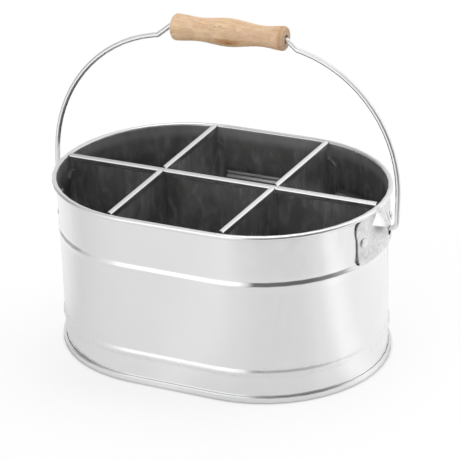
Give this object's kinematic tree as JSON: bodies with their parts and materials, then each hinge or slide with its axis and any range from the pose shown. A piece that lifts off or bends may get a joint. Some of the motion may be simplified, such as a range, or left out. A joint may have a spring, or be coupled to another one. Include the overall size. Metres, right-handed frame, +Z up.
{
  "type": "divided metal caddy",
  "caption": "Oval galvanised steel caddy with a curled rim, crossed dividers making six compartments, riveted ears and a swinging wire bail with a turned wooden grip.",
  "frame": {"origin": "on the table, under the middle of the body (bottom centre of the bounding box)", "axes": "+X along the body from the left ear to the right ear, +Y from the front long side to the back long side, +Z up; the bail leans 6 degrees towards +Y at rest"},
  "size_m": [0.3102, 0.2076, 0.2773],
  "materials": {
    "galvanised_sheet": "bright satin zinc with faint streaks and smudges",
    "ear_steel": "mottled satin zinc",
    "bright_wire": "bright drawn wire",
    "beech": "turned beech, thin satin varnish, fine grain"
  },
  "bodies": {
    "caddy": {"wall_band": "galvanised_sheet", "base_pan": "galvanised_sheet", "long_divider": "galvanised_sheet", "cross_divider_left": "galvanised_sheet", "cross_divider_right": "galvanised_sheet", "ear_left": "ear_steel", "ear_right": "ear_steel", "rivet_left_front": "ear_steel", "rivet_left_back": "ear_steel", "rivet_right_front": "ear_steel", "rivet_right_back": "ear_steel"},
    "bail": {"bail_wire": "bright_wire"},
    "grip": {"wood_grip": "beech"}
  },
  "joints": [
    {"name": "bail_swing", "type": "hinge", "parent": "caddy", "child": "bail", "pos_m": [0, 0, 0.125], "axis": [1, 0, 0], "range_deg": [-120, 132.5]},
    {"name": "grip_spin", "type": "hinge", "parent": "bail", "child": "grip", "pos_m": [0.005, 0.01518, 0.26588], "axis": [0.9998, 0.0019, 0.0174], "continuous": true}
  ]
}
